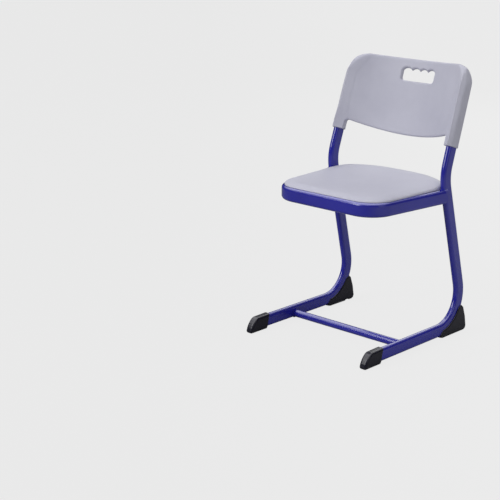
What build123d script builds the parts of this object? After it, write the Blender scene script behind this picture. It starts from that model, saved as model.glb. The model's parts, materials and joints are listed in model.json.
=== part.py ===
"""Student desk chair: cantilever steel frame with a moulded seat and backrest.

Units are millimetres.  +Z is up, the sitter faces -Y and the sitter's left is +X.
The origin is on the floor, on the mirror plane, midway between front and back.
"""
from build123d import *

import math
import os

# ---- steel side frames ------------------------------------------------------
TUBE_DEPTH = 38.0          # flat-oval tube, long way across
TUBE_THICK = 18.0          # flat-oval tube, short way across
TUBE_WALL = 1.5
HALF_SPACING = 212.5       # side frame centre plane from the mirror plane, at the floor
FRAME_LEAN = 0.8           # degrees each side frame tips inwards
RUNNER_HEIGHT = 23.5       # tube centre above the floor
RUNNER_FRONT = -228.0
MAIN_BEND = 100.0
KINK_BEND = 120.0
KINK_Y = 96.8
KINK_Z = 474.0
LOWER_SLOPE = 0.2493       # forward run of the lower upright per unit of height
BACK_TILT = 18.63          # degrees the post leans backwards
POST_TOP = 125.0           # length of post above the backrest reference point

# ---- seat rail and crossbars ------------------------------------------------
RAIL_DEPTH = 40.5          # the rail's tube is a little deeper than the side frames'
RAIL_Z = 419.4
RAIL_FRONT = -184.8
RAIL_HALF_FRONT = 174.5
RAIL_HALF_BACK = 209.6
RAIL_BACK = 100.0
RAIL_BEND = 70.0
BAR_RADIUS = 11.0
BAR_WALL = 1.5
FOOT_BAR_Y = -66.0
FOOT_BAR_Z = 17.6
SEAT_BAR_Y = 62.0
SEAT_BAR_Z = 417.0
WELD_SIZE = 3.0

# ---- seat -------------------------------------------------------------------
SEAT_BOTTOM = RAIL_Z + RAIL_DEPTH / 2
SEAT_TOP = 451.5
SEAT_FRONT = -187.0
SEAT_REAR = 176.0
SEAT_HALF_FRONT = 182.8
SEAT_HALF_MAX = 199.5
SEAT_MAX_Y = 58.0
SEAT_CORNER = 78.0
SEAT_REAR_POINTS = ((194.5, 92.0), (178.0, 128.0), (120.0, 161.0))
SEAT_ROLL = 36.0           # width of the rolled border
SEAT_ROLL_DROP = 7.5
SEAT_REAR_RISE = 8.0
SEAT_FRONT_FALL = 1.5
SEAT_DISH = 3.0
SEAT_DISH_SIZE = 120.0
SEAT_LIFT_START = 30.0
SEAT_FALL_START = -110.0
SEAT_REAR_BOW = 50.0       # how far the rear edge curves forward at full width
SEAT_POCKET_INSET = 34.0
SEAT_POCKET = 4.0
SEAT_RIB = 3.0
BOSS_RADIUS = 8.0
BOSS_DROP = 7.0
BOSS_BORE = 12.0
SEAT_FIXINGS = ((160.5, -85.0), (175.5, 25.0))     # left-hand screw positions

# ---- backrest ---------------------------------------------------------------
BACK_REF_Y = 121.5         # point on the post axis that the backrest is measured from
BACK_REF_Z = 547.5
SOCKET_REAR = 22.5         # rear of the socket behind the post axis
SOCKET_SECTIONS = (        # level up the post, front, rear, thickness
    (10.0, -22.5, 22.5, 24.5),
    (130.0, -21.0, 22.5, 24.0),
    (210.0, -19.5, 20.5, 22.5),
    (262.0, -14.0, 8.0, 15.0),
)
SOCKET_BOTTOM = 10.0
SOCKET_GAP = 0.25
PANEL_RADIUS = 306.0
PANEL_SETBACK = 52.5
PANEL_THICK = 10.0
PANEL_BAND_HALF = 197.0
PANEL_TOP = 252.0
PANEL_CROWN = 5.0
PANEL_CORNERS = (          # depth in front of the post axis, width, height
    (26.0, 94.0, 94.0),
    (-70.0, 30.0, 40.0),
)
PANEL_HALF = 218.0
PANEL_LOW_MIDDLE = 26.0
PANEL_LOW_SIDE = 40.0
PANEL_LOW_FILLET = 8.0
SOCKET_INNER = 187.0       # inner edge of the sockets where they hang below the panel
HOLE_HALF = 56.5
HOLE_LOW = 186.0
HOLE_HIGH = 223.3
HOLE_CORNER = 10.0
LOBE_RADIUS = 17.5
LOBE_PITCH = 28.0

# ---- plastic feet -----------------------------------------------------------
FOOT_HALF = 12.3           # half width of caps and glides
CAP_NOSE = -262.0
CAP_REAR_TOP = -180.6
CAP_REAR_SOLE = -194.0
CAP_TOP = 44.5
CAP_EDGE = 2.5
GLIDE_FRONT = 83.0
GLIDE_SOLE_FRONT = 96.0
GLIDE_REAR = 210.5
GLIDE_TIP = (184.0, 82.0)
CHEEK_RADIUS = 101.0
CHEEK_FRONT_ANGLE = -81.2  # degrees around the bend where the cheek starts
CHEEK_TOP_ANGLE = -29.4
GLIDE_EDGE = 1.5
RIVET_POSITIONS = (-208.0, 106.0)                  # under the front cap, under the heel glide
RIVET_RADIUS = 2.4
RIVET_HEAD_RADIUS = 4.5
RIVET_HEAD_HEIGHT = 1.6
RIVET_RECESS = 3.0
RIVET_LENGTH = 8.0

# ---- fasteners --------------------------------------------------------------
SCREW_RADIUS = 2.5
SCREW_HEAD_RADIUS = 5.2
SCREW_HEAD_HEIGHT = 3.0
SCREW_SEAT = 1.2           # depth of the flat the backrest screw heads sit on
HEAD_CLEARANCE = 0.3
DRIVER_SPAN = 5.0
DRIVER_WIDTH = 1.1
DRIVER_DEPTH = 1.6
SCREW_BITE = 9.0
WASHER_RADIUS = 7.0
WASHER_THICK = 1.2
TAB_THICK = 3.0
TAB_LENGTH = 30.0
TAB_REACH = 24.0
BACK_SCREW_LEVELS = (45.0, 100.0)
BACK_SCREW_LENGTH = 14.0

LEAN = math.radians(FRAME_LEAN)
TILT = math.radians(BACK_TILT)
SIDE_PLANE = Plane(
    origin=(HALF_SPACING, 0, 0),
    x_dir=(0, 1, 0),
    z_dir=(math.cos(LEAN), 0, math.sin(LEAN)),
)
BACK_PLANE = Plane(
    origin=(0, BACK_REF_Y, BACK_REF_Z),
    x_dir=(1, 0, 0),
    z_dir=(0, -math.cos(TILT), math.sin(TILT)),
)
SECTION_PLANE = Plane(
    origin=(0, BACK_REF_Y, BACK_REF_Z),
    x_dir=(1, 0, 0),
    z_dir=(0, math.sin(TILT), math.cos(TILT)),
)


def side_x(height):
    """Centre plane of the left side frame at a given height."""
    return HALF_SPACING - math.tan(LEAN) * height


def upright_y(height):
    """Centreline of the lower upright at a given height."""
    return KINK_Y + LOWER_SLOPE * (KINK_Z - height)


def frame_path():
    """Centreline of the left side frame, from the runner's front end to the post top."""
    corner = (upright_y(RUNNER_HEIGHT), RUNNER_HEIGHT)
    middle = (upright_y(300), 300)
    kink = (KINK_Y, KINK_Z)
    rise = BACK_REF_Z - KINK_Z + POST_TOP * math.cos(TILT)
    top = (KINK_Y + math.tan(TILT) * rise, KINK_Z + rise)
    with BuildLine(SIDE_PLANE) as path:
        FilletPolyline((RUNNER_FRONT, RUNNER_HEIGHT), corner, middle, radius=MAIN_BEND)
        FilletPolyline(middle, kink, top, radius=KINK_BEND)
    return path.wire()


def swept_tube(path, shrink, flat_normal, depth=TUBE_DEPTH):
    """Flat-oval bar along a path; shrink takes the wall off all round."""
    start = Plane(origin=path @ 0, x_dir=flat_normal, z_dir=path % 0)
    with BuildPart() as bar:
        with BuildSketch(start):
            SlotOverall(depth - 2 * shrink, TUBE_THICK - 2 * shrink, rotation=90)
        sweep(path=path)
    return bar.part


def mirrored(solid):
    """Copy of a solid on the other side of the mirror plane."""
    return solid.mirror(Plane.YZ)


def save(part, name):
    part.label = name
    export_step(part, f"parts/{name}.step")
    print(name, "solids", len(part.solids()), "volume", round(part.volume / 1000, 1), "cm3")


os.makedirs("parts", exist_ok=True)

# ---- side frames ------------------------------------------------------------
side_path = frame_path()
side_bar = swept_tube(side_path, 0, SIDE_PLANE.z_dir)
side_core = swept_tube(side_path, TUBE_WALL, SIDE_PLANE.z_dir)
side_bars = [side_bar, mirrored(side_bar)]


def post_x(level):
    """Centre of the left post at a level measured up the backrest."""
    return side_x(BACK_REF_Z + level * math.cos(TILT))


def back_screw_planes():
    """Planes on the rear of the sockets, pointing backwards out of the backrest."""
    planes = []
    for side in (-1, 1):
        for level in BACK_SCREW_LEVELS:
            point = (side * post_x(level), SOCKET_REAR - SCREW_SEAT, level)
            start = SECTION_PLANE.from_local_coords(point)
            planes.append(Plane(origin=start, x_dir=(1, 0, 0), z_dir=-BACK_PLANE.z_dir))
    return planes


def drill(target, planes, radius, depth):
    """Round holes bored inwards from a set of planes."""
    with BuildPart() as drilled:
        add(target)
        for plane in planes:
            with BuildSketch(plane):
                Circle(radius)
            extrude(amount=-depth, mode=Mode.SUBTRACT)
    return drilled.part


def rivet_plane(y):
    """Plane on the floor under a rivet in the left runner, pointing down."""
    return Plane(origin=(side_x(0), y, 0), z_dir=(0, 0, -1))


with BuildPart() as left_frame:
    add(side_bar)
    add(side_core, mode=Mode.SUBTRACT)
left_side = drill(left_frame.part, back_screw_planes()[2:], SCREW_RADIUS, SOCKET_REAR)
left_side = drill(left_side, [rivet_plane(y) for y in RIVET_POSITIONS], RIVET_RADIUS, RUNNER_HEIGHT)
save(left_side, "left_side_frame")
save(mirrored(left_side), "right_side_frame")


# ---- seat rail and crossbars ------------------------------------------------
def rail_path():
    """Centreline of the U-shaped seat rail, open at the back."""
    with BuildLine(Plane.XY.offset(RAIL_Z)) as path:
        FilletPolyline(
            (RAIL_HALF_BACK, RAIL_BACK),
            (RAIL_HALF_FRONT, RAIL_FRONT),
            (-RAIL_HALF_FRONT, RAIL_FRONT),
            (-RAIL_HALF_BACK, RAIL_BACK),
            radius=RAIL_BEND,
        )
    return path.wire()


def rail_bar(shrink):
    """Solid seat rail standing on edge."""
    path = rail_path()
    across = (path % 0).cross(Vector(0, 0, 1))
    return swept_tube(path, shrink, across, RAIL_DEPTH)


def without(solid, cutters):
    """Largest body left after the cutters are taken out."""
    with BuildPart() as rest:
        add(solid)
        for cutter in cutters:
            add(cutter, mode=Mode.SUBTRACT)
    return Part([rest.part.solids().sort_by(SortBy.VOLUME)[-1]])


def round_bar(y, z, radius, reach):
    """Solid round bar lying across the chair."""
    with BuildPart() as bar:
        with BuildSketch(Plane(origin=(-reach, y, z), x_dir=(0, 1, 0), z_dir=(1, 0, 0))):
            Circle(radius)
        extrude(amount=2 * reach)
    return bar.part


def crossbar(y, z, reach, cutters):
    """Round tube across the chair with its ends shaped to what it is welded to."""
    bore = round_bar(y, z, BAR_RADIUS - BAR_WALL, reach)
    return without(round_bar(y, z, BAR_RADIUS, reach), [bore, *cutters])


def weld_beads(bar_grown, walls_grown, cutters):
    """Beads where a grown bar and grown walls overlap, less the tubes themselves."""
    with BuildPart() as beads:
        for wall in walls_grown:
            add(wall)
        add(bar_grown, mode=Mode.INTERSECT)
        for cutter in cutters:
            add(cutter, mode=Mode.SUBTRACT)
    return beads.part


rail_outer = rail_bar(0)
seat_rail = without(rail_outer, [rail_bar(TUBE_WALL), *side_bars])
save(seat_rail, "seat_rail")

foot_bar = crossbar(FOOT_BAR_Y, FOOT_BAR_Z, side_x(0), side_bars)
save(foot_bar, "foot_crossbar")

seat_bar = crossbar(SEAT_BAR_Y, SEAT_BAR_Z, side_x(0), [rail_outer])
save(seat_bar, "seat_crossbar")

side_grown = swept_tube(side_path, -WELD_SIZE, SIDE_PLANE.z_dir)
sides_grown = [side_grown, mirrored(side_grown)]
rail_grown = rail_bar(-WELD_SIZE)
foot_bar_grown = round_bar(FOOT_BAR_Y, FOOT_BAR_Z, BAR_RADIUS + WELD_SIZE, side_x(0))
foot_bar_plain = round_bar(FOOT_BAR_Y, FOOT_BAR_Z, BAR_RADIUS, side_x(0))
seat_bar_grown = round_bar(SEAT_BAR_Y, SEAT_BAR_Z, BAR_RADIUS + WELD_SIZE, side_x(RAIL_Z))
seat_bar_plain = round_bar(SEAT_BAR_Y, SEAT_BAR_Z, BAR_RADIUS, side_x(RAIL_Z))
save(weld_beads(rail_grown, sides_grown, [rail_outer, *side_bars]), "rail_welds")
save(weld_beads(foot_bar_grown, sides_grown, [foot_bar_plain, *side_bars]), "foot_crossbar_welds")
save(weld_beads(seat_bar_grown, [rail_grown], [seat_bar_plain, rail_outer]), "seat_crossbar_welds")


# ---- seat fixing tabs -------------------------------------------------------
def seat_fixings():
    """Screw positions on both sides of the seat."""
    return [(side * x, y) for side in (-1, 1) for x, y in SEAT_FIXINGS]


TAB_TOP = SEAT_BOTTOM - BOSS_DROP

with BuildPart() as tabs:
    with BuildSketch(Plane.XY.offset(TAB_TOP - TAB_THICK)):
        for x, y in seat_fixings():
            side = math.copysign(1, x)
            with Locations((x + side * TAB_REACH / 2, y)):
                Rectangle(2 * TAB_REACH, TAB_LENGTH)
    extrude(amount=TAB_THICK)
    fillet(tabs.edges().filter_by(Axis.Z), 6)
    add(rail_outer, mode=Mode.SUBTRACT)
    with BuildSketch(Plane.XY.offset(TAB_TOP)):
        with Locations(seat_fixings()):
            Circle(SCREW_RADIUS + 0.5)
    extrude(amount=-TAB_THICK, mode=Mode.SUBTRACT)
tab_plates = [s for s in tabs.part.solids() if abs(s.center().X) < side_x(RAIL_Z) - TUBE_THICK]
save(Part(tab_plates), "seat_fixing_tabs")


# ---- seat -------------------------------------------------------------------
def seat_half_width(y):
    """Half width of the seat where its sides are straight."""
    along = (y - SEAT_FRONT) / (SEAT_MAX_Y - SEAT_FRONT)
    return SEAT_HALF_FRONT + (SEAT_HALF_MAX - SEAT_HALF_FRONT) * along


def seat_outline(plane, inset):
    """Plan outline of the seat, drawn smaller all round by the inset."""
    half = SEAT_HALF_MAX - inset
    front = SEAT_FRONT + inset
    rear_scale = (SEAT_REAR - SEAT_MAX_Y - inset) / (SEAT_REAR - SEAT_MAX_Y)
    slope = (SEAT_HALF_MAX - SEAT_HALF_FRONT) / (SEAT_MAX_Y - SEAT_FRONT)
    rear = [
        (x * half / SEAT_HALF_MAX, SEAT_MAX_Y + (y - SEAT_MAX_Y) * rear_scale)
        for x, y in SEAT_REAR_POINTS
    ]
    with BuildSketch(plane) as outline:
        with BuildLine():
            FilletPolyline(
                (0, front),
                (SEAT_HALF_FRONT - inset, front),
                (half, SEAT_MAX_Y),
                radius=SEAT_CORNER - inset,
            )
            Spline(
                (half, SEAT_MAX_Y),
                *rear,
                (0, SEAT_REAR - inset),
                tangents=((slope, 1), (-1, 0)),
            )
            mirror(about=Plane.YZ)
        make_face()
    return outline.sketch


def seat_border(x, y):
    """How far a point lies into the rolled border: 0 at its inner edge, 1 at the outline."""
    half = seat_half_width(min(y, SEAT_MAX_Y))
    corner_x = half - SEAT_CORNER
    corner_y = SEAT_FRONT + SEAT_CORNER
    side_in = 1 - (half - abs(x)) / SEAT_ROLL
    if abs(x) > corner_x and y < corner_y:
        from_outline = SEAT_CORNER - math.hypot(abs(x) - corner_x, corner_y - y)
        return 1 - from_outline / SEAT_ROLL
    if y < corner_y:
        return 1 - (y - SEAT_FRONT) / SEAT_ROLL
    rear_edge = SEAT_REAR - SEAT_REAR_BOW * (x / SEAT_HALF_MAX) ** 2
    rear_in = 1 - (rear_edge - y) / SEAT_ROLL
    return math.hypot(max(0.0, side_in), max(0.0, rear_in))


def seat_height(x, y):
    """Height of the moulded top: dished, lifted at the back, rolled at the border."""
    rear = max(0.0, (y - SEAT_LIFT_START) / (SEAT_REAR - SEAT_LIFT_START))
    front = max(0.0, (SEAT_FALL_START - y) / (SEAT_FALL_START - SEAT_FRONT))
    lift = SEAT_REAR_RISE * rear ** 1.6 - SEAT_FRONT_FALL * front ** 2
    dish = SEAT_DISH * math.exp(-((x / SEAT_DISH_SIZE) ** 2) - ((y / SEAT_DISH_SIZE) ** 2))
    border = min(max(0.0, seat_border(x, y)), 1.1)
    return SEAT_TOP + lift - dish - SEAT_ROLL_DROP * border ** 2


def seat_top_face():
    """Smooth face through a grid of seat heights, a little larger than the seat."""
    columns = [-210 + 420 * i / 34 for i in range(35)]
    rows = [-200 + 390 * j / 32 for j in range(33)]
    grid = [[Vector(x, y, seat_height(x, y)) for y in rows] for x in columns]
    return Face.make_surface_from_array_of_points(grid, tol=0.05)


with BuildPart() as seat:
    add(seat_outline(Plane.XY.offset(SEAT_BOTTOM), 0))
    extrude(amount=40)
    split(bisect_by=seat_top_face(), keep=Keep.BOTTOM)
    add(seat_outline(Plane.XY.offset(SEAT_BOTTOM), SEAT_POCKET_INSET))
    extrude(amount=SEAT_POCKET, mode=Mode.SUBTRACT)
    with BuildSketch(Plane.XY.offset(SEAT_BOTTOM)) as ribs:
        with GridLocations(0, 60, 1, 5):
            Rectangle(400, SEAT_RIB)
        with GridLocations(80, 0, 5, 1):
            Rectangle(SEAT_RIB, 400)
        with Locations(seat_fixings()):
            Circle(BOSS_RADIUS)
        add(seat_outline(Plane.XY, SEAT_POCKET_INSET - 1), mode=Mode.INTERSECT)
    extrude(amount=SEAT_POCKET)
    with BuildSketch(Plane.XY.offset(TAB_TOP)):
        with Locations(seat_fixings()):
            Circle(BOSS_RADIUS)
    extrude(amount=BOSS_DROP)
    with BuildSketch(Plane.XY.offset(TAB_TOP)):
        with Locations(seat_fixings()):
            Circle(SCREW_RADIUS)
    extrude(amount=BOSS_BORE, mode=Mode.SUBTRACT)
save(seat.part, "seat_shell")


# ---- backrest ---------------------------------------------------------------
def panel_band():
    """Section of the curved panel, seen down the posts."""
    centre = (0, PANEL_SETBACK - PANEL_RADIUS)
    with BuildSketch(SECTION_PLANE.offset(SOCKET_BOTTOM)) as band:
        with Locations(centre):
            Circle(PANEL_RADIUS + PANEL_THICK)
            Circle(PANEL_RADIUS, mode=Mode.SUBTRACT)
        with Locations((0, 20)):
            Rectangle(2 * PANEL_BAND_HALF, 120, mode=Mode.INTERSECT)
    return band.sketch


def above_panel(depth, width, height):
    """Front view of everything above the crowned top edge and its round corners."""
    ceiling = PANEL_TOP + 2 * PANEL_SETBACK
    corner = (PANEL_HALF - width, PANEL_TOP - PANEL_CROWN)
    side = (PANEL_HALF, PANEL_TOP - height)
    with BuildSketch(BACK_PLANE.offset(depth)) as region:
        with BuildLine():
            ThreePointArc((-corner[0], corner[1]), (0, PANEL_TOP), corner)
            for half in (-1, 1):
                Spline(
                    (half * corner[0], corner[1]),
                    (half * side[0], side[1]),
                    tangents=((half, -0.06), (0, -1)),
                )
                Line((half * side[0], side[1]), (half * side[0] * 1.5, ceiling))
            Line((-side[0] * 1.5, ceiling), (side[0] * 1.5, ceiling))
        make_face()
    return region.sketch


def below_panel():
    """Front view of the space between the sockets under the panel's lower edge."""
    corner = (SOCKET_INNER - PANEL_LOW_FILLET, PANEL_LOW_SIDE)
    side = (SOCKET_INNER, PANEL_LOW_SIDE - PANEL_LOW_FILLET)
    with BuildSketch(BACK_PLANE) as region:
        with BuildLine():
            ThreePointArc((-corner[0], corner[1]), (0, PANEL_LOW_MIDDLE), corner)
            for half in (-1, 1):
                Spline(
                    (half * corner[0], corner[1]),
                    (half * side[0], side[1]),
                    tangents=((half, 0.1), (0, -1)),
                )
                Line((half * side[0], side[1]), (half * side[0], -PANEL_LOW_SIDE))
            Line((-side[0], -PANEL_LOW_SIDE), (side[0], -PANEL_LOW_SIDE))
        make_face()
    return region.sketch


def hand_hole():
    """Grip opening with four finger scallops along its top."""
    with BuildSketch(BACK_PLANE) as hole:
        with Locations((0, (HOLE_LOW + HOLE_HIGH) / 2)):
            Rectangle(2 * HOLE_HALF, HOLE_HIGH - HOLE_LOW)
        with Locations((0, HOLE_HIGH)):
            Rectangle(2 * HOLE_HALF, 2 * LOBE_RADIUS, mode=Mode.SUBTRACT)
        with Locations((0, HOLE_HIGH - LOBE_RADIUS)):
            with GridLocations(LOBE_PITCH, 0, 4, 1):
                Circle(LOBE_RADIUS)
        with Locations((0, HOLE_LOW + 2 * LOBE_RADIUS)):
            RectangleRounded(2 * HOLE_HALF, 4 * LOBE_RADIUS, HOLE_CORNER, mode=Mode.INTERSECT)
    return hole.sketch


post_bore = swept_tube(side_path, -SOCKET_GAP, SIDE_PLANE.z_dir)

with BuildPart() as back:
    add(panel_band())
    extrude(amount=PANEL_TOP + PANEL_SETBACK, dir=SECTION_PLANE.z_dir)
    for side in (-1, 1):
        for level, front, rear, thick in SOCKET_SECTIONS:
            with BuildSketch(SECTION_PLANE.offset(level)):
                with Locations((side * post_x(level), (front + rear) / 2)):
                    SlotOverall(rear - front, thick, rotation=90)
        loft(ruled=True)
    loft([above_panel(*corner).face() for corner in PANEL_CORNERS], ruled=True, mode=Mode.SUBTRACT)
    for region in (below_panel(), hand_hole()):
        add(region)
        extrude(amount=2 * PANEL_SETBACK, dir=BACK_PLANE.z_dir, both=True, mode=Mode.SUBTRACT)
    add(post_bore, mode=Mode.SUBTRACT)
    add(mirrored(post_bore), mode=Mode.SUBTRACT)
backrest = drill(back.part, back_screw_planes(), SCREW_RADIUS, SOCKET_REAR)
backrest = drill(backrest, back_screw_planes(), SCREW_HEAD_RADIUS + HEAD_CLEARANCE, -2 * SCREW_SEAT)
save(backrest, "backrest_shell")


# ---- plastic feet -----------------------------------------------------------
FOOT_PLANE = Plane(origin=(side_x(0), 0, 0), x_dir=(0, 1, 0), z_dir=(1, 0, 0))
BEND_Y = upright_y(RUNNER_HEIGHT) - MAIN_BEND * math.tan((math.pi / 2 + math.atan(LOWER_SLOPE)) / 2)
BEND_Z = RUNNER_HEIGHT + MAIN_BEND
TUBE_UNDERSIDE = RUNNER_HEIGHT - TUBE_DEPTH / 2


def cheek_point(angle):
    """Point on the arc of the heel glide's cheek, around the centre of the main bend."""
    turn = math.radians(angle)
    return (BEND_Y + CHEEK_RADIUS * math.cos(turn), BEND_Z + CHEEK_RADIUS * math.sin(turn))


def front_cap_outline():
    """Side view of the cap that closes the front end of the left runner."""
    with BuildSketch(FOOT_PLANE) as outline:
        with BuildLine():
            Polyline(
                (CAP_NOSE + 4, 0),
                (CAP_REAR_SOLE, 0),
                (CAP_REAR_SOLE + 5, TUBE_UNDERSIDE + 2),
                (CAP_REAR_TOP, CAP_TOP),
                (CAP_NOSE + 30, CAP_TOP - 1),
            )
            Spline(
                (CAP_NOSE + 30, CAP_TOP - 1),
                (CAP_NOSE + 18, 36),
                (CAP_NOSE + 8, 24),
                (CAP_NOSE + 0.5, 8),
                (CAP_NOSE + 4, 0),
                tangents=((CAP_NOSE + 30 - CAP_REAR_TOP, -1), (0.3, -1)),
            )
        make_face()
    return outline.sketch


def heel_glide_outline():
    """Side view of the glide under the bend, with a cheek that follows the tube."""
    with BuildSketch(FOOT_PLANE) as outline:
        with BuildLine():
            Polyline(
                cheek_point(CHEEK_TOP_ANGLE),
                GLIDE_TIP,
                (GLIDE_REAR - 16, 73),
                (GLIDE_REAR - 5.5, 43),
                (GLIDE_REAR, 12),
                (GLIDE_REAR - 3, 4),
                (GLIDE_REAR - 11, 0),
                (GLIDE_SOLE_FRONT, 0),
                (GLIDE_FRONT, TUBE_UNDERSIDE),
                (GLIDE_FRONT + 3, TUBE_UNDERSIDE + 8),
                cheek_point(CHEEK_FRONT_ANGLE),
            )
            ThreePointArc(
                cheek_point(CHEEK_FRONT_ANGLE),
                cheek_point((CHEEK_FRONT_ANGLE + CHEEK_TOP_ANGLE) / 2),
                cheek_point(CHEEK_TOP_ANGLE),
            )
        make_face()
    return outline.sketch


def shoe(outline, edge_radius, rivet_y):
    """Plastic shoe moulded around the tube, with a recess for its rivet."""
    with BuildPart() as body:
        add(outline)
        extrude(amount=FOOT_HALF, dir=FOOT_PLANE.z_dir, both=True)
        rims = body.edges().filter_by(lambda e: abs(abs(e.center().X - side_x(0)) - FOOT_HALF) < 0.1)
        fillet(rims.filter_by(lambda e: e.center().Z > 1), edge_radius)
        add(side_bar, mode=Mode.SUBTRACT)
    drilled = drill(body.part, [rivet_plane(rivet_y)], RIVET_RADIUS, RUNNER_HEIGHT)
    return drill(drilled, [rivet_plane(rivet_y)], RIVET_HEAD_RADIUS + HEAD_CLEARANCE, RIVET_RECESS)


front_cap = shoe(front_cap_outline(), CAP_EDGE, RIVET_POSITIONS[0])
save(front_cap, "left_front_cap")
save(mirrored(front_cap), "right_front_cap")

heel_glide = shoe(heel_glide_outline(), GLIDE_EDGE, RIVET_POSITIONS[1])
save(heel_glide, "left_heel_glide")
save(mirrored(heel_glide), "right_heel_glide")


# ---- fasteners --------------------------------------------------------------
def headed_pins(planes, shank_radius, shank_length, head_radius, head_height):
    """Pins on a set of planes, each with a rounded head outside and its shank going in."""
    with BuildPart() as pins:
        for plane in planes:
            with BuildSketch(plane):
                Circle(head_radius)
            extrude(amount=head_height)
            rims = pins.edges(Select.LAST).filter_by(GeomType.CIRCLE)
            fillet(rims.group_by(Axis(plane.origin, plane.z_dir))[-1], head_height * 0.6)
            with BuildSketch(plane):
                Circle(shank_radius)
            extrude(amount=-shank_length)
    return pins.part


def cross_recessed(pins, planes):
    """Screws with a cross-shaped driver recess cut in each head."""
    with BuildPart() as screws:
        add(pins)
        for plane in planes:
            with BuildSketch(plane.offset(SCREW_HEAD_HEIGHT)):
                Rectangle(DRIVER_SPAN, DRIVER_WIDTH)
                Rectangle(DRIVER_WIDTH, DRIVER_SPAN)
            extrude(amount=-DRIVER_DEPTH, mode=Mode.SUBTRACT)
    return screws.part


WASHER_TOP = TAB_TOP - TAB_THICK
seat_screw_planes = [
    Plane(origin=(x, y, WASHER_TOP - WASHER_THICK), x_dir=(1, 0, 0), z_dir=(0, 0, -1))
    for x, y in seat_fixings()
]
seat_screws = headed_pins(
    seat_screw_planes,
    SCREW_RADIUS,
    WASHER_THICK + TAB_THICK + SCREW_BITE,
    SCREW_HEAD_RADIUS,
    SCREW_HEAD_HEIGHT,
)
save(cross_recessed(seat_screws, seat_screw_planes), "seat_screws")

with BuildPart() as washers:
    with BuildSketch(Plane.XY.offset(WASHER_TOP)):
        with Locations(seat_fixings()):
            Circle(WASHER_RADIUS)
            Circle(SCREW_RADIUS + HEAD_CLEARANCE, mode=Mode.SUBTRACT)
    extrude(amount=-WASHER_THICK)
save(washers.part, "seat_washers")

backrest_screws = headed_pins(
    back_screw_planes(),
    SCREW_RADIUS,
    BACK_SCREW_LENGTH,
    SCREW_HEAD_RADIUS,
    SCREW_HEAD_HEIGHT,
)
save(cross_recessed(backrest_screws, back_screw_planes()), "backrest_screws")

for rivet_y, name in zip(RIVET_POSITIONS, ("front_cap_rivets", "heel_glide_rivets")):
    rivet_planes = [
        Plane(origin=(side * side_x(0), rivet_y, RIVET_RECESS), x_dir=(1, 0, 0), z_dir=(0, 0, -1))
        for side in (-1, 1)
    ]
    rivets = headed_pins(
        rivet_planes, RIVET_RADIUS, RIVET_LENGTH, RIVET_HEAD_RADIUS, RIVET_HEAD_HEIGHT
    )
    save(rivets, name)
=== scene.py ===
import json
import math

import bpy
import numpy as np
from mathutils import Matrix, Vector


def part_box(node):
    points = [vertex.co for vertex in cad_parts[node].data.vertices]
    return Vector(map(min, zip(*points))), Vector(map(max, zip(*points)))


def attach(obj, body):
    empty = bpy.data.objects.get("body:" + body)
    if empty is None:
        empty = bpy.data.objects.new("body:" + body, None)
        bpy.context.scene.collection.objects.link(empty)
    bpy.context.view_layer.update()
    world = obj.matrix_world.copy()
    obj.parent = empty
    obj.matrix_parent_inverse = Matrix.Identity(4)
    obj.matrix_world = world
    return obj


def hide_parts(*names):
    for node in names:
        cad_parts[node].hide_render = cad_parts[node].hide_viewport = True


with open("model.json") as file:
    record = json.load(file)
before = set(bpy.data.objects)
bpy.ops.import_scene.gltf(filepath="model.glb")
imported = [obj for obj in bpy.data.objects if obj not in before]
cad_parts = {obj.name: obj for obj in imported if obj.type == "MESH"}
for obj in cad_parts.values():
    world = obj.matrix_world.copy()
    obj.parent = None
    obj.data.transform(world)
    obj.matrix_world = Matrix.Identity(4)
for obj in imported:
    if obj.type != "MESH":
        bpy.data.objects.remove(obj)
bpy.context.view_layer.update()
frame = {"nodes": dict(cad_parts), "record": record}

NODES = frame["nodes"]
SCENE = bpy.context.scene

# ---- camera, light and stage ------------------------------------------------
CAMERA_PLACE = (2.30037, -2.89667, 1.30518)
CAMERA_TURN = (90 - 16.09997, 0.0, 43.57649)
CAMERA_LENS = 94.9934
CAMERA_SENSOR = 36.0
STAGE_SIZE = 60.0
FLOOR_DIRECTION = (0.7, 0.7, 0.0)  # the floor gets paler this way
FLOOR_RANGE = (-0.6, 0.9)          # over these distances from the middle
FLOOR_SHADES = (0.24, 0.62)
FLOOR_GLOW = 0.92                  # share of plain glow in what the camera sees of the floor
PALE = 0.868                       # background brightness, linear
BACKDROP_STRENGTH = 0.96
SURROUND_STRENGTH = 0.50
BRIGHT_SIDE = (-0.20, 0.0, 0.98)   # reflections are brightest towards this
BRIGHT_RANGE = (0.42, 1.0)
REFLECTION_LEVELS = (0.04, 4.2)
LIGHT_TARGET = (0.0, 0.0, 0.42)
LIGHTS = (                         # name, place, size, power
    ("key", (-1.5, -3.5, 2.5), 2.2, 92),
    ("top", (0.2, 0.3, 3.6), 2.6, 10),
    ("back", (-1.4, 3.4, 2.0), 2.0, 24),
    ("side", (3.4, -0.6, 1.6), 1.6, 9),
)


# ---- node helpers -----------------------------------------------------------
def new_material(name):
    """Node material with its principled shader ready to wire."""
    material = bpy.data.materials.new(name)
    material.use_nodes = True
    tree = material.node_tree
    return material, tree, tree.nodes["Principled BSDF"]


def add_node(tree, kind, **inputs):
    """Shader node with input values set by name."""
    node = tree.nodes.new(kind)
    for key, value in inputs.items():
        node.inputs[key.replace("_", " ")].default_value = value
    return node


def place_coordinates(tree):
    """Object coordinates in metres, shared by every texture of a material."""
    return tree.nodes.new("ShaderNodeTexCoord").outputs["Object"]


def noise(tree, where, scale, detail=3.0, roughness=0.5):
    """Noise texture whose scale is in cells per metre."""
    node = add_node(tree, "ShaderNodeTexNoise", Scale=scale, Detail=detail, Roughness=roughness)
    tree.links.new(where, node.inputs["Vector"])
    return node.outputs["Fac"]


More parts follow.
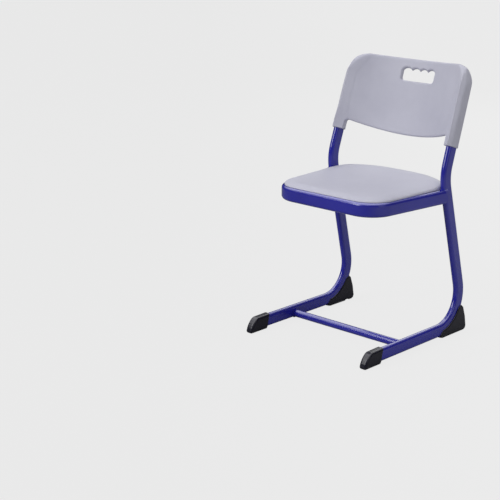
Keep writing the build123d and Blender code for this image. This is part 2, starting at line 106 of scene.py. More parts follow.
def ramp(tree, value, low, high, low_color, high_color):
    """Colour ramp between two stops."""
    node = tree.nodes.new("ShaderNodeValToRGB")
    node.color_ramp.elements[0].position = low
    node.color_ramp.elements[0].color = (*low_color, 1)
    node.color_ramp.elements[1].position = high
    node.color_ramp.elements[1].color = (*high_color, 1)
    tree.links.new(value, node.inputs["Fac"])
    return node.outputs["Color"]


def map_range(tree, value, source, target):
    """Map range node from one pair of values to another."""
    node = tree.nodes.new("ShaderNodeMapRange")
    node.inputs["From Min"].default_value, node.inputs["From Max"].default_value = source
    node.inputs["To Min"].default_value, node.inputs["To Max"].default_value = target
    tree.links.new(value, node.inputs["Value"])
    return node


def along_direction(tree, vector, direction):
    """How far a vector socket reaches along a fixed direction."""
    node = tree.nodes.new("ShaderNodeVectorMath")
    node.operation = "DOT_PRODUCT"
    node.inputs[1].default_value = direction
    tree.links.new(vector, node.inputs[0])
    return node.outputs["Value"]


def spread(tree, value, low, high):
    """Maps the usual range of a noise to a range of plain values."""
    return map_range(tree, value, (0.25, 0.75), (low, high)).outputs["Result"]


def mixed(tree, factor, first, second):
    """Blend of two colours by a factor socket."""
    node = tree.nodes.new("ShaderNodeMix")
    node.data_type = "RGBA"
    tree.links.new(factor, node.inputs["Factor"])
    for socket, value in ((node.inputs[6], first), (node.inputs[7], second)):
        if isinstance(value, tuple):
            socket.default_value = (*value, 1)
        else:
            tree.links.new(value, socket)
    return node.outputs[2]


def add_bump(tree, shader, heights):
    """Chain of bumps, each a (height socket, strength, distance in metres)."""
    normal = None
    for height, strength, distance in heights:
        node = add_node(tree, "ShaderNodeBump", Strength=strength, Distance=distance)
        tree.links.new(height, node.inputs["Height"])
        if normal is not None:
            tree.links.new(normal, node.inputs["Normal"])
        normal = node.outputs["Normal"]
    tree.links.new(normal, shader.inputs["Normal"])


# ---- materials --------------------------------------------------------------
WORN_HEIGHT = 0.010                # the feet are scuffed up to this height


def powder_coat():
    """Glossy blue powder coat: orange peel, slow colour drift, faint scuffs."""
    material, tree, shader = new_material("blue_powder_coat")
    where = place_coordinates(tree)
    drift = noise(tree, where, 7, 4)
    scuff = noise(tree, where, 46, 8, 0.72)
    peel = noise(tree, where, 330, 2)
    fine = noise(tree, where, 1500, 2)
    body = ramp(tree, drift, 0.3, 0.7, (0.0175, 0.0180, 0.285), (0.0225, 0.0230, 0.340))
    scuff_mask = ramp(tree, scuff, 0.66, 0.74, (0, 0, 0), (0.10, 0.10, 0.10))
    tree.links.new(mixed(tree, scuff_mask, body, (0.06, 0.06, 0.32)), shader.inputs["Base Color"])
    tree.links.new(spread(tree, scuff, 0.13, 0.20), shader.inputs["Roughness"])
    shader.inputs["Coat Weight"].default_value = 0.35
    shader.inputs["Coat Roughness"].default_value = 0.09
    shader.inputs["IOR"].default_value = 1.5
    add_bump(tree, shader, [(peel, 0.022, 0.0005), (fine, 0.02, 0.0002)])
    return material


def grained_plastic():
    """Light grey moulding with a fine spark-eroded grain."""
    material, tree, shader = new_material("grey_moulded_plastic")
    where = place_coordinates(tree)
    cloud = noise(tree, where, 9, 5, 0.6)
    fleck = noise(tree, where, 420, 4, 0.7)
    grain = add_node(tree, "ShaderNodeTexVoronoi", Scale=1050)
    tree.links.new(where, grain.inputs["Vector"])
    fine = noise(tree, where, 1900, 3)
    body = ramp(tree, cloud, 0.3, 0.7, (0.455, 0.455, 0.545), (0.505, 0.505, 0.592))
    fleck_mask = ramp(tree, fleck, 0.60, 0.72, (0, 0, 0), (0.25, 0.25, 0.25))
    flecked = mixed(tree, fleck_mask, body, (0.40, 0.40, 0.49))
    tree.links.new(flecked, shader.inputs["Base Color"])
    tree.links.new(spread(tree, cloud, 0.46, 0.58), shader.inputs["Roughness"])
    shader.inputs["IOR"].default_value = 1.46
    shader.inputs["Specular IOR Level"].default_value = 0.35
    add_bump(tree, shader, [(grain.outputs["Distance"], 0.16, 0.0003), (fine, 0.10, 0.0002)])
    return material


def foot_plastic():
    """Satin black moulding, greyer where it is scuffed near the floor."""
    material, tree, shader = new_material("black_foot_plastic")
    where = place_coordinates(tree)
    cloud = noise(tree, where, 34, 6, 0.65)
    fine = noise(tree, where, 1400, 3)
    height = tree.nodes.new("ShaderNodeSeparateXYZ")
    tree.links.new(where, height.inputs["Vector"])
    low = map_range(tree, height.outputs["Z"], (WORN_HEIGHT, 0.0), (0.0, 1.0))
    worn = tree.nodes.new("ShaderNodeMath")
    worn.operation = "MULTIPLY"
    tree.links.new(low.outputs["Result"], worn.inputs[0])
    tree.links.new(cloud, worn.inputs[1])
    body = ramp(tree, cloud, 0.3, 0.7, (0.0060, 0.0056, 0.0135), (0.0085, 0.0080, 0.0175))
    worn_body = mixed(tree, worn.outputs["Value"], body, (0.024, 0.024, 0.028))
    tree.links.new(worn_body, shader.inputs["Base Color"])
    tree.links.new(spread(tree, cloud, 0.26, 0.34), shader.inputs["Roughness"])
    shader.inputs["Specular IOR Level"].default_value = 0.35
    add_bump(tree, shader, [(fine, 0.03, 0.0001)])
    return material


def plated_metal(name, color, rough_low, rough_high):
    """Bright plated or plain metal with fine turning marks."""
    material, tree, shader = new_material(name)
    where = place_coordinates(tree)
    cloud = noise(tree, where, 160, 5)
    marks = noise(tree, where, 2600, 3)
    dark = tuple(c * 0.8 for c in color)
    tree.links.new(ramp(tree, cloud, 0.3, 0.7, dark, color), shader.inputs["Base Color"])
    tree.links.new(spread(tree, cloud, rough_low, rough_high), shader.inputs["Roughness"])
    shader.inputs["Metallic"].default_value = 1.0
    add_bump(tree, shader, [(marks, 0.10, 0.0002)])
    return material


MATERIALS = {
    "frame_paint": powder_coat(),
    "shell_plastic": grained_plastic(),
    "foot_plastic": foot_plastic(),
    "zinc_steel": plated_metal("bright_zinc", (0.66, 0.66, 0.63), 0.22, 0.38),
    "aluminium_rivet": plated_metal("rivet_aluminium", (0.74, 0.74, 0.75), 0.30, 0.45),
}
SLOTS = {entry["node"]: entry["material_slot"] for entry in frame["record"]["subparts"]}
for node_name, cad_object in NODES.items():
    cad_object.data.materials.clear()
    cad_object.data.materials.append(MATERIALS[SLOTS[node_name]])


# ---- moulded pieces ---------------------------------------------------------
def add_piece(name, mesh, node):
    """Puts a finished mesh in the scene in place of a CAD node."""
    piece = bpy.data.objects.new(name, mesh)
    SCENE.collection.objects.link(piece)
    mesh.materials.clear()
    mesh.materials.append(MATERIALS[SLOTS[node]])
    for polygon in mesh.polygons:
        polygon.use_smooth = True
    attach(piece, "root")
    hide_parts(node)
    return piece


def soft_max(first, second, blend):
    """Larger of two distances with the crease rounded over a blend width."""
    near = np.maximum(blend - np.abs(first - second), 0.0) / blend
    return np.maximum(first, second) + near * near * blend / 4


def soft_min(first, second, blend):
    """Smaller of two distances with the crease rounded over a blend width."""
    return -soft_max(-first, -second, blend)


def step_up(value, low, high):
    """Smooth step from 0 at low to 1 at high."""
    part = np.clip((value - low) / (high - low), 0.0, 1.0)
    return part * part * (3 - 2 * part)


def stadium(across, along, half_straight, radius):
    """Distance to a flat-oval outline centred on the origin."""
    return np.hypot(across, np.maximum(np.abs(along) - half_straight, 0.0)) - radius


def polygon_distance(corners, a, b):
    """Signed distance to a closed polygon, negative inside."""
    nearest = np.full(np.shape(a), 1e9)
    sign = np.ones(np.shape(a))
    for (a0, b0), (a1, b1) in zip(corners, corners[1:] + corners[:1]):
        da, db = a1 - a0, b1 - b0
        pa, pb = a - a0, b - b0
        along = np.clip((pa * da + pb * db) / (da * da + db * db), 0.0, 1.0)
        nearest = np.minimum(nearest, (pa - da * along) ** 2 + (pb - db * along) ** 2)
        above, below = b >= b0, b < b1
        left = da * pb > db * pa
        crossing = (above & below & left) | (~above & ~below & ~left)
        sign = np.where(crossing, -sign, sign)
    return sign * np.sqrt(nearest)


def net_vertices(values, low, steps):
    """One vertex in each grid cell the surface crosses, at the mean of its crossings."""
    cells = tuple(n - 1 for n in values.shape)
    total = np.zeros(cells + (3,))
    count = np.zeros(cells)
    for axis in range(3):
        others = [k for k in range(3) if k != axis]
        for shift in ((0, 0), (0, 1), (1, 0), (1, 1)):
            start = [0, 0, 0]
            start[others[0]], start[others[1]] = shift
            end = list(start)
            end[axis] = 1
            first = values[tuple(slice(s, s + c) for s, c in zip(start, cells))]
            second = values[tuple(slice(s, s + c) for s, c in zip(end, cells))]
            crosses = (first < 0) != (second < 0)
            part = np.where(crosses, first / np.where(crosses, first - second, 1.0), 0.0)
            count += crosses
            total[..., axis] += part
            for k in others:
                total[..., k] += crosses * start[k]
    active = count > 0
    index = np.full(cells, -1, int)
    index[active] = np.arange(int(active.sum()))
    places = np.argwhere(active) + total[active] / count[active][:, None]
    return low + places * steps, index


def net_faces(values, index):
    """A quad for each grid edge the surface crosses, facing out."""
    faces = []
    for axis in range(3):
        one, two = (axis + 1) % 3, (axis + 2) % 3
        span = [slice(1, n - 1) for n in values.shape]
        span[axis] = slice(0, values.shape[axis] - 1)
        after = list(span)
        after[axis] = slice(1, values.shape[axis])
        first, second = values[tuple(span)] < 0, values[tuple(after)] < 0
        nodes = np.argwhere(first != second)
        outward = first[first != second]
        nodes[:, one] += 1
        nodes[:, two] += 1
        ring = []
        for back_one, back_two in ((1, 1), (0, 1), (0, 0), (1, 0)):
            cell = nodes.copy()
            cell[:, one] -= back_one
            cell[:, two] -= back_two
            ring.append(index[tuple(cell.T)])
        quads = np.stack(ring, axis=1)
        quads[~outward] = quads[~outward][:, ::-1]
        faces.append(quads)
    return np.concatenate(faces)


def onto_surface(field, points, step, rounds):
    """Moves points along the field's slope until they lie on its surface."""
    nudge = step * 0.1
    for _ in range(rounds):
        value = field(*points.T)
        slope = np.empty_like(points)
        for axis in range(3):
            offset = np.zeros(3)
            offset[axis] = nudge
            slope[:, axis] = (field(*(points + offset).T) - field(*(points - offset).T)) / (2 * nudge)
        size = np.maximum((slope ** 2).sum(axis=1), 0.05)
        move = -(value / size)[:, None] * slope
        length = np.linalg.norm(move, axis=1)
        points = points + move * np.minimum(1.0, step / np.maximum(length, 1e-9))[:, None]
    return points


def evened(points, faces):
    """Each point moved half way to the mean of its neighbours."""
    first = faces.ravel()
    second = np.roll(faces, -1, axis=1).ravel()
    total = np.zeros_like(points)
    for axis in range(3):
        total[:, axis] = np.bincount(first, points[second, axis], len(points))
        total[:, axis] += np.bincount(second, points[first, axis], len(points))
    count = np.bincount(first, minlength=len(points)) + np.bincount(second, minlength=len(points))
    return (points + total / count[:, None]) / 2


SMOOTHING_ROUNDS = 3
PROJECTION_ROUNDS = 3


def moulded(name, node, field, low, high, steps, to_world):
    """Closed skin of a distance field in millimetres, placed in the scene as a piece."""
    low, high, steps = np.array(low, float), np.array(high, float), np.array(steps, float)
    axes = [np.arange(a, b + s, s) for a, b, s in zip(low, high, steps)]
    grid = np.meshgrid(*axes, indexing="ij")
    values = field(*grid)
    points, index = net_vertices(values, low, steps)
    faces = net_faces(values, index)
    for _ in range(SMOOTHING_ROUNDS):
        points = onto_surface(field, evened(points, faces), steps.min(), PROJECTION_ROUNDS)
    mesh = bpy.data.meshes.new(name)
    mesh.from_pydata(to_world(points).tolist(), [], faces.tolist())
    mesh.validate()
    return add_piece(name, mesh, node)


# ---- frame sizes shared by the mouldings, in millimetres ----------------------
LEAN = math.tan(math.radians(0.8))  # both side frames lean towards the middle
HALF_SPACING = 212.5
TUBE_HALF_STRAIGHT = 10.0
TUBE_HALF_THICK = 9.0
SOCKET_CLEARANCE = 0.25
FOOT_CLEARANCE = 0.1


def side_x(height):
    """Centre plane of the left side frame at a height."""
    return HALF_SPACING - LEAN * height


def box_mm(node):
    """Lowest and highest corners of a CAD node in millimetres."""
    low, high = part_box(node)
    return [v * 1000 for v in low], [v * 1000 for v in high]


def world_metres(points):
    """World millimetres to world metres."""
    return points / 1000


# ---- backrest, measured across, rearwards and up along the posts --------------
BACK_TILT = math.radians(18.63)
BACK_POINT = (121.5, 547.5)        # Y and Z of the point it is measured from
BACK_LOW = (-226, -32, 4.4)
BACK_HIGH = (226, 72, 262)
BACK_STEPS = (1.6, 1.5, 1.6)
POST_TOP = 126.0
SOCKET_BOTTOM = 10.0
ROLL_THICK = (12.25, 13.25)        # half thickness at the bottom and higher up
ROLL_FRONT = (-22.5, -21.6, -19.0)
ROLL_REAR = 23.0
ROLL_REAR_SWEEP = 31.0             # how far the rear comes forward at the very top
ROLL_REAR_START = 178.0
ROLL_REAR_RISE = 90.0
ROLL_WIDENING = 24.0               # extra width inwards, behind the top corner
RIM_FLARE = 0.7
PANEL_RADIUS = 306.0
PANEL_SETBACK = 52.5
PANEL_HALF_THICK = 5.0
PANEL_EDGE_ROUND = 1.5             # rounds the middle of the panel's thin edges
PANEL_TOP = 252.4
CROWN_DROP = 5.0
CROWN_HALF = 156.0
LOW_MIDDLE = 26.0                  # lower edge of the panel at the middle
LOW_RISE = 14.0                    # and how much higher it is at LOW_HALF
LOW_HALF = 179.0
SOCKET_INNER = 187.0
CORNER_FRONT = (90.0, 82.0)        # width and height of the top corner at the front
CORNER_REAR = (64.0, 64.0)
HOLE_HALF = 56.5
HOLE_LOW = 186.0
HOLE_HIGH = 223.3
HOLE_CORNER = 9.0
HOLE_FLARE = 3.2
LOBE_RADIUS = 17.5
LOBE_PITCH = 28.0
LOBE_PLACES = (-1.5, -0.5, 0.5, 1.5)
SCREW_LEVELS = (45.0, 100.0)
SCREW_FLAT_RADIUS = 6.2
SCREW_FLAT_DEEP = 21.3
FRONT_SKIN = 0.6                   # the rolls stay at least this far behind the panel's front
RIM_ROUND = 1.6
EDGE_ROUND = 6.0                   # blend widths, from here to FINE_ROUND
SHOULDER_ROUND = 14.0
PANEL_TO_ROLL = 11.0
LOW_PANEL_TO_ROLL = 20.0
HOLE_ROUND = 2.6
FINE_ROUND = 0.5


def back_to_world(points):
    """Backrest millimetres to world metres."""
    x, deep, up = points.T
    y = BACK_POINT[0] + deep * math.cos(BACK_TILT) + up * math.sin(BACK_TILT)
    z = BACK_POINT[1] - deep * math.sin(BACK_TILT) + up * math.cos(BACK_TILT)
    return world_metres(np.stack([x, y, z], axis=1))


def rounded_plate(x, y, half_x, half_y, corner):
    """Distance to a rectangle with round corners, centred on the origin."""
    over_x = np.abs(x) - half_x + corner
    over_y = np.abs(y) - half_y + corner
    outside = np.hypot(np.maximum(over_x, 0.0), np.maximum(over_y, 0.0))
    inside = np.maximum(over_x, over_y)
    return np.where(inside > 0, outside, inside) - corner


def hole_distance(x, up):
    """Grip opening with four finger scallops along its top."""
    high = HOLE_HIGH + HOLE_CORNER + 3
    half_high = (high - HOLE_LOW) / 2
    plate = rounded_plate(x, up - HOLE_LOW - half_high, HOLE_HALF, half_high, HOLE_CORNER)
    above = up - (HOLE_HIGH - LOBE_RADIUS)
    lobes = np.minimum.reduce([np.hypot(x - place * LOBE_PITCH, above) for place in LOBE_PLACES])
    return np.maximum(plate, soft_min(lobes - LOBE_RADIUS, above, 2.0))


def roll_section(up):
    """Front, rear and half thickness of the side roll at a height."""
    rise = step_up(up, SOCKET_BOTTOM, 120)
    low, middle, high = ROLL_FRONT
    front = low + (middle - low) * rise + (high - middle) * step_up(up, POST_TOP + 4, 205)
    fall = np.clip((up - ROLL_REAR_START) / ROLL_REAR_RISE, 0.0, 0.999)
    rear = ROLL_REAR - ROLL_REAR_SWEEP * (1 - np.sqrt(1 - fall * fall))
    thick = ROLL_THICK[0] + (ROLL_THICK[1] - ROLL_THICK[0]) * rise
    thick = thick + RIM_FLARE * (1 - step_up(up, SOCKET_BOTTOM + 1, SOCKET_BOTTOM + 7))
    return front, rear, thick


def roll_distance(from_post, deep, up):
    """Side roll, widening inwards behind the top corner."""
    front, rear, thick = roll_section(up)
    widen = ROLL_WIDENING * step_up(up, ROLL_REAR_START - 2, 240)
    beside = np.where(from_post < 0, np.minimum(from_post + widen, 0.0), from_post)
    straight = np.maximum((rear - front) / 2 - thick, 0.0)
    return stadium(beside, deep - (front + rear) / 2, straight, thick)


def top_distance(across, deep, up, outer, front):
    """Crowned top edge whose corners are larger at the front than at the rear."""
    behind = step_up(deep - front, -4, 26)
    wide = CORNER_FRONT[0] + (CORNER_REAR[0] - CORNER_FRONT[0]) * behind
    high = CORNER_FRONT[1] + (CORNER_REAR[1] - CORNER_FRONT[1]) * behind
    inset = np.maximum(across - (outer - wide), 0.0) / wide
    rise = np.maximum(up - (PANEL_TOP - high), 0.0) / high
    corner = (np.hypot(inset, rise) - 1) * np.minimum(wide, high) * 0.9
    crown = up - (PANEL_TOP - CROWN_DROP * np.minimum(across / CROWN_HALF, 1.2) ** 2)
    start = PANEL_TOP - high
    blend = 0.4 + (8 + 7 * step_up(across, 165, 200)) * step_up(up, start, start + 34)
    return np.maximum(corner, crown), blend


def back_field(x, deep, up):
    """Concave panel carried between two hollow rolls that fit over the posts."""
    across = np.abs(x)
    from_post = across - side_x(BACK_POINT[1] + up * math.cos(BACK_TILT))
    front, rear, thick = roll_section(up)
    reach = np.hypot(x, deep + PANEL_RADIUS - PANEL_SETBACK)
    roll = soft_max(roll_distance(from_post, deep, up), PANEL_RADIUS - reach, 1.5)
    from_middle = np.hypot(reach - PANEL_RADIUS - PANEL_HALF_THICK, PANEL_EDGE_ROUND)
    slab = from_middle - math.hypot(PANEL_HALF_THICK, PANEL_EDGE_ROUND)
    slab = soft_max(slab, from_post, EDGE_ROUND)
    low_edge = LOW_MIDDLE + LOW_RISE * (across / LOW_HALF) ** 2
    low_cut = soft_min(SOCKET_INNER - across, low_edge - up, SHOULDER_ROUND)
    slab = soft_max(slab, low_cut, EDGE_ROUND)
    low_part = 1 - step_up(up, 30, 90)
    body = soft_min(slab, roll, PANEL_TO_ROLL + (LOW_PANEL_TO_ROLL - PANEL_TO_ROLL) * low_part)
    body = soft_max(body, PANEL_RADIUS - FRONT_SKIN - reach, FINE_ROUND)

    chord = np.sqrt(np.maximum(PANEL_RADIUS ** 2 - across ** 2, 1.0))
    panel_front = chord - PANEL_RADIUS + PANEL_SETBACK
    outer = across - from_post + thick
    top, blend = top_distance(across, deep, up, outer, np.maximum(panel_front, front))
    body = soft_max(body, top, blend)
    body = soft_max(body, SOCKET_BOTTOM - up, RIM_ROUND)

    flare = HOLE_FLARE * step_up(-reach, -PANEL_RADIUS - 7.5, -PANEL_RADIUS + 0.5)
    body = soft_max(body, flare - hole_distance(x, up), HOLE_ROUND)
    for level in SCREW_LEVELS:
        flat = np.hypot(from_post, up - level) - SCREW_FLAT_RADIUS
        body = soft_max(body, -np.maximum(flat, SCREW_FLAT_DEEP - deep), FINE_ROUND)
    bore = stadium(from_post, deep, TUBE_HALF_STRAIGHT, TUBE_HALF_THICK + SOCKET_CLEARANCE)
    return np.maximum(body, -np.maximum(bore, up - POST_TOP))


moulded("backrest", "backrest_shell", back_field, BACK_LOW, BACK_HIGH, BACK_STEPS, back_to_world)


# ---- seat -------------------------------------------------------------------
SEAT_LOW, SEAT_HIGH = box_mm("seat_shell")
SEAT_FRONT = SEAT_LOW[1]
SEAT_REAR = SEAT_HIGH[1]
SEAT_MARGIN = 7.0
SEAT_STEPS = (1.7, 1.7, 1.25)
BOSS_DROP = 7.0
BOSS_RADIUS = 8.0
BOSS_PLACES = ((160.5, -85.0), (175.5, 25.0))
SEAT_BOTTOM = SEAT_LOW[2] + BOSS_DROP
SEAT_TOP = SEAT_BOTTOM + 11.85     # before the rise, the dish and the border
SEAT_HALF_FRONT = 182.8
SEAT_CORNER = 78.0
SEAT_REAR_POINTS = ((199.5, 58.0), (195.5, 92.0), (180.0, 128.0), (121.0, 161.0), (0.0, SEAT_REAR))
CORNER_PIECES = 14
CURVE_PIECES = 8
BORDER_WIDTH = 36.0                # rolled border: how wide and how far it drops
BORDER_DROP = 7.5
REAR_RISE = 8.0
REAR_RISE_START = 30.0
REAR_RISE_POWER = 1.6
FRONT_FALL = 1.5
FRONT_FALL_START = -110.0
DISH = 3.0
DISH_SIZE = 120.0
POCKET_DEPTH = 4.0
POCKET_INSET = 34.0
RIB_HALF = 1.6
RIB_PITCH_X = 80.0
RIB_PITCH_Y = 60.0
SEAT_EDGE_ROUND = 7.0
RIB_ROUND = 1.5
SKIRT_DROP = 6.0                   # shallow skirt hanging just inside the rail
RAIL_FACE = 188.2                  # inner face of the rail at Y = 0, and its slope
RAIL_SLOPE = 0.12325


def curve_through(points, start, end, count):
    """Smooth curve through unevenly spaced points with set end directions."""
    points = [np.array(p, float) for p in points]
    gaps = [np.linalg.norm(b - a) for a, b in zip(points, points[1:])]
    slopes = [np.array(start, float) / np.linalg.norm(start)]
    for i in range(1, len(points) - 1):
        before = (points[i] - points[i - 1]) / gaps[i - 1]
        after = (points[i + 1] - points[i]) / gaps[i]
        slopes.append((before * gaps[i] + after * gaps[i - 1]) / (gaps[i] + gaps[i - 1]))
    slopes.append(np.array(end, float) / np.linalg.norm(end))
    result = []
    for i, gap in enumerate(gaps):
        for t in np.arange(count) / count:
            result.append(
                (2 * t ** 3 - 3 * t ** 2 + 1) * points[i]
                + (t ** 3 - 2 * t ** 2 + t) * gap * slopes[i]
                + (3 * t ** 2 - 2 * t ** 3) * points[i + 1]
                + (t ** 3 - t ** 2) * gap * slopes[i + 1]
            )
    result.append(points[-1])
    return [tuple(float(v) for v in p) for p in result]


def seat_outline():
    """Plan outline of the seat as a closed ring of points."""
    x1, y1 = SEAT_REAR_POINTS[0]
    along = (x1 - SEAT_HALF_FRONT, y1 - SEAT_FRONT)
    turn = math.atan2(along[1], along[0])
    centre_x = SEAT_HALF_FRONT - SEAT_CORNER * math.tan(turn / 2)
    centre_y = SEAT_FRONT + SEAT_CORNER
    half = [(0.0, SEAT_FRONT)]
    for i in range(CORNER_PIECES + 1):
        angle = -math.pi / 2 + turn * i / CORNER_PIECES
        x = centre_x + SEAT_CORNER * math.cos(angle)
        y = centre_y + SEAT_CORNER * math.sin(angle)
        half.append((x, y))
    half += curve_through(SEAT_REAR_POINTS, along, (-1, 0), CURVE_PIECES)
    return half + [(-x, y) for x, y in reversed(half[1:-1])]


SEAT_RING = seat_outline()


def seat_top(x, y, edge):
    """Height of the dished top with its rolled border and raised rear."""
    rear = np.maximum((y - REAR_RISE_START) / (SEAT_REAR - REAR_RISE_START), 0.0)
    front = np.maximum((FRONT_FALL_START - y) / (FRONT_FALL_START - SEAT_FRONT), 0.0)
    dish = DISH * np.exp(-((x / DISH_SIZE) ** 2) - ((y / DISH_SIZE) ** 2))
    border = np.clip(1 + edge / BORDER_WIDTH, 0.0, 1.3)
    raised = SEAT_TOP + REAR_RISE * rear ** REAR_RISE_POWER - FRONT_FALL * front ** 2
    return raised - dish - BORDER_DROP * border ** 2


def from_nearest(value, pitch):
    """Distance to the nearest multiple of a pitch."""
    return np.abs((value + pitch / 2) % pitch - pitch / 2)


def seat_field(x, y, z):
    """Dished seat with a rolled border, a ribbed pocket and screw bosses beneath."""
    if x.ndim == 3:
        edge = polygon_distance(SEAT_RING, x[:, :, 0], y[:, :, 0])[:, :, None] + 0 * z
    else:
        edge = polygon_distance(SEAT_RING, x, y)
    body = soft_max(edge, z - seat_top(x, y, edge), SEAT_EDGE_ROUND)
    skirt = SKIRT_DROP * step_up(y, -60, 0) * step_up(np.abs(x), 130, 160)
    skirt = skirt * (1 - step_up(np.abs(x) - RAIL_FACE - RAIL_SLOPE * y, -2.4, -0.8))
    body = soft_max(body, SEAT_BOTTOM - skirt - z, 1.0)
    pocket = np.maximum(edge + POCKET_INSET, z - SEAT_BOTTOM - POCKET_DEPTH)
    rib_x = from_nearest(x, RIB_PITCH_X) - RIB_HALF
    rib_y = from_nearest(y, RIB_PITCH_Y) - RIB_HALF
    pocket = soft_max(pocket, -np.minimum(rib_x, rib_y), RIB_ROUND)
    body = soft_max(body, -pocket, RIB_ROUND)
    for boss_x, boss_y in BOSS_PLACES:
        post = np.hypot(np.abs(x) - boss_x, y - boss_y) - BOSS_RADIUS
        post = np.maximum(post, np.abs(z - SEAT_BOTTOM) - BOSS_DROP)
        body = soft_min(body, post, RIB_ROUND)
    return body


moulded(
    "seat",
    "seat_shell",
    seat_field,
    np.subtract(SEAT_LOW, SEAT_MARGIN),
    np.add(SEAT_HIGH, SEAT_MARGIN),
    SEAT_STEPS,
    world_metres,
)


# ---- feet -------------------------------------------------------------------
FRAME_LOW = box_mm("left_side_frame")[0]
CAP_LOW, CAP_HIGH = box_mm("left_front_cap")
HEEL_HIGH = box_mm("left_heel_glide")[1]
RUNNER_HEIGHT = FRAME_LOW[2] + TUBE_HALF_STRAIGHT + TUBE_HALF_THICK
RUNNER_FRONT = FRAME_LOW[1]
FOOT_HALF = (CAP_HIGH[0] - CAP_LOW[0]) / 2
FOOT_MARGIN = (4.0, 3.5, 3.5)
FOOT_STEPS = (1.0, 1.0, 1.0)
MAIN_BEND = 100.0
LOWER_SLOPE = 0.2493
KINK_Y = 96.8
KINK_Z = 474.0
BEND_TURN = math.pi / 2 + math.atan(LOWER_SLOPE)
BEND_Y = KINK_Y + LOWER_SLOPE * (KINK_Z - RUNNER_HEIGHT) - MAIN_BEND * math.tan(BEND_TURN / 2)
BEND_Z = RUNNER_HEIGHT + MAIN_BEND
CAP_AHEAD = (                      # side outline: how far ahead of the open end, and height
    (77.4, 0.0), (13.4, 0.0), (8.4, 6.5), (0.0, 44.5), (51.4, 43.5), (57.9, 40.6),
    (63.4, 36.2), (69.4, 30.0), (73.9, 23.6), (77.9, 16.0), (80.7, 8.0), (80.8, 3.5),
)
CAP_ROUNDING = 8.0
SOLE_ROUND = 1.5
MOUTH_ROUND = 0.6
CHEEK_RADIUS = 101.0
CHEEK_START = -29.4                # degrees
CHEEK_SWEEP = -51.8
CHEEK_PIECES = 10
HEEL_AHEAD = (                     # the rest of the glide: how far ahead of its rear, and height
    (124.5, 12.5), (127.5, 4.5), (114.5, 0.0), (11.0, 0.0), (3.0, 4.0),
    (0.0, 12.0), (5.5, 43.0), (16.0, 73.0), (26.5, 82.0),
)
HEEL_ROUNDING = 6.0
NOTCH_PLACE = 177.0                # shallow notch in the inner edge of the sole
NOTCH_HALF = 9.0
NOTCH_HEIGHT = 4.5
NOTCH_WIDTH = 8.0
NOTCH_ROUND = 1.2


def cheek_points():
    """Arc of the heel glide's cheek, around the centre of the main bend."""
    points = []
    for i in range(CHEEK_PIECES + 1):
        angle = math.radians(CHEEK_START + CHEEK_SWEEP * i / CHEEK_PIECES)
        y = BEND_Y + CHEEK_RADIUS * math.cos(angle)
        z = BEND_Z + CHEEK_RADIUS * math.sin(angle)
        points.append((y, z))
    return points


CAP_RING = [(CAP_HIGH[1] - ahead, z) for ahead, z in CAP_AHEAD]
HEEL_RING = cheek_points() + [(HEEL_HIGH[1] - ahead, z) for ahead, z in HEEL_AHEAD]


def tube_distance(x, y, z):
    """Distance to the left side frame's tube around the runner and the main bend."""
    around = np.hypot(y - BEND_Y, z - BEND_Z) - MAIN_BEND
    off_path = np.where(y < BEND_Y, RUNNER_HEIGHT - z, around)
    return stadium(x - side_x(0), off_path, TUBE_HALF_STRAIGHT, TUBE_HALF_THICK + FOOT_CLEARANCE)


def cap_field(x, y, z):
    """Front cap: rounded nose, flat sole, pushed over the end of the runner."""
    across = np.abs(x - side_x(0)) - FOOT_HALF
    body = soft_max(polygon_distance(CAP_RING, y, z), across, CAP_ROUNDING)
    inside = np.maximum(tube_distance(x, y, z), RUNNER_FRONT - y)
    body = soft_max(body, -inside, MOUTH_ROUND)
    return soft_max(body, -z, SOLE_ROUND)


def heel_field(x, y, z):
    """Heel glide: cheeks hug the bend and a flat sole carries the chair."""
    across = np.abs(x - side_x(0)) - FOOT_HALF
    body = soft_max(polygon_distance(HEEL_RING, y, z), across, HEEL_ROUNDING)
    body = soft_max(body, -tube_distance(x, y, z), MOUTH_ROUND)
    notch = np.maximum(np.abs(y - NOTCH_PLACE) - NOTCH_HALF, z - NOTCH_HEIGHT)
    notch = np.maximum(notch, x - side_x(0) + FOOT_HALF - NOTCH_WIDTH)
    body = soft_max(body, -notch, NOTCH_ROUND)
    return soft_max(body, -z, SOLE_ROUND)


def foot(side, way, piece, node, field):
    """Foot of one side from the field of the left one."""
    low, high = box_mm(f"{side}_{node}")
    moulded(
        f"{side}_{piece}",
        f"{side}_{node}",
        lambda x, y, z: field(way * x, y, z),
        np.subtract(low, FOOT_MARGIN),
        np.add(high, FOOT_MARGIN),
        FOOT_STEPS,
        world_metres,
    )


for side, way in (("left", 1), ("right", -1)):
    foot(side, way, "front_foot", "front_cap", cap_field)
    foot(side, way, "heel_foot", "heel_glide", heel_field)


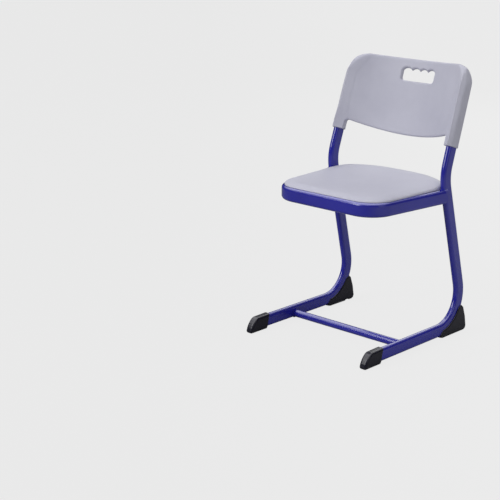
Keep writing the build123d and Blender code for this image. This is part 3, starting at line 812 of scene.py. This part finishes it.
# ---- stage ------------------------------------------------------------------
def floor():
    """Pale floor that reads as the backdrop and takes a faint soft shadow."""
    mesh = bpy.data.meshes.new("floor")
    half = STAGE_SIZE / 2
    corners = [(-half, -half, 0), (half, -half, 0), (half, half, 0), (-half, half, 0)]
    mesh.from_pydata(corners, [], [(0, 1, 2, 3)])
    piece = bpy.data.objects.new("floor", mesh)
    SCENE.collection.objects.link(piece)
    material = bpy.data.materials.new("floor_paper")
    material.use_nodes = True
    tree = material.node_tree
    tree.nodes.clear()
    out = tree.nodes.new("ShaderNodeOutputMaterial")
    diffuse = tree.nodes.new("ShaderNodeBsdfDiffuse")
    toward = along_direction(tree, place_coordinates(tree), FLOOR_DIRECTION)
    shade = map_range(tree, toward, FLOOR_RANGE, FLOOR_SHADES)
    tree.links.new(shade.outputs["Result"], diffuse.inputs["Color"])
    glow = add_node(tree, "ShaderNodeEmission", Color=(PALE, PALE, PALE, 1), Strength=1.0)
    seen = add_node(tree, "ShaderNodeMixShader")
    seen.inputs["Fac"].default_value = FLOOR_GLOW
    path = tree.nodes.new("ShaderNodeLightPath")
    choice = tree.nodes.new("ShaderNodeMixShader")
    tree.links.new(diffuse.outputs[0], seen.inputs[1])
    tree.links.new(glow.outputs[0], seen.inputs[2])
    tree.links.new(path.outputs["Is Camera Ray"], choice.inputs["Fac"])
    tree.links.new(diffuse.outputs[0], choice.inputs[1])
    tree.links.new(seen.outputs[0], choice.inputs[2])
    tree.links.new(choice.outputs[0], out.inputs["Surface"])
    mesh.materials.append(material)


def area_light(name, place, size, power):
    """Square soft light aimed at the chair."""
    data = bpy.data.lights.new(name, "AREA")
    data.shape = "SQUARE"
    data.size = size
    data.energy = power
    lamp = bpy.data.objects.new(name, data)
    SCENE.collection.objects.link(lamp)
    lamp.location = place
    aim = Vector(LIGHT_TARGET) - Vector(place)
    lamp.rotation_euler = aim.to_track_quat("-Z", "Y").to_euler()


def world_light():
    """Even surround for diffuse light, brightest overhead in reflections."""
    world = bpy.data.worlds.new("surround")
    SCENE.world = world
    world.use_nodes = True
    tree = world.node_tree
    tree.nodes.clear()
    out = tree.nodes.new("ShaderNodeOutputWorld")
    even = add_node(tree, "ShaderNodeBackground", Color=(1, 1, 1, 1), Strength=SURROUND_STRENGTH)
    shaped = add_node(tree, "ShaderNodeBackground", Color=(1, 1, 1, 1))
    heading = tree.nodes.new("ShaderNodeTexCoord").outputs["Generated"]
    toward = along_direction(tree, heading, BRIGHT_SIDE)
    level = map_range(tree, toward, BRIGHT_RANGE, REFLECTION_LEVELS)
    level.interpolation_type = "SMOOTHSTEP"
    tree.links.new(level.outputs["Result"], shaped.inputs["Strength"])
    backdrop = add_node(tree, "ShaderNodeBackground", Color=(PALE, PALE, PALE, 1))
    backdrop.inputs["Strength"].default_value = BACKDROP_STRENGTH
    path = tree.nodes.new("ShaderNodeLightPath")
    shader = even
    for ray, seen in (("Is Glossy Ray", shaped), ("Is Camera Ray", backdrop)):
        choice = tree.nodes.new("ShaderNodeMixShader")
        tree.links.new(path.outputs[ray], choice.inputs["Fac"])
        tree.links.new(shader.outputs[0], choice.inputs[1])
        tree.links.new(seen.outputs[0], choice.inputs[2])
        shader = choice
    tree.links.new(shader.outputs[0], out.inputs["Surface"])


floor()
world_light()
for light in LIGHTS:
    area_light(*light)

camera_data = bpy.data.cameras.new("camera")
camera_data.lens = CAMERA_LENS
camera_data.sensor_width = CAMERA_SENSOR
camera = bpy.data.objects.new("camera", camera_data)
SCENE.collection.objects.link(camera)
camera.location = CAMERA_PLACE
camera.rotation_euler = tuple(math.radians(angle) for angle in CAMERA_TURN)
SCENE.camera = camera
SCENE.view_settings.view_transform = "Standard"
SCENE.view_settings.look = "None"

bpy.context.view_layer.update()
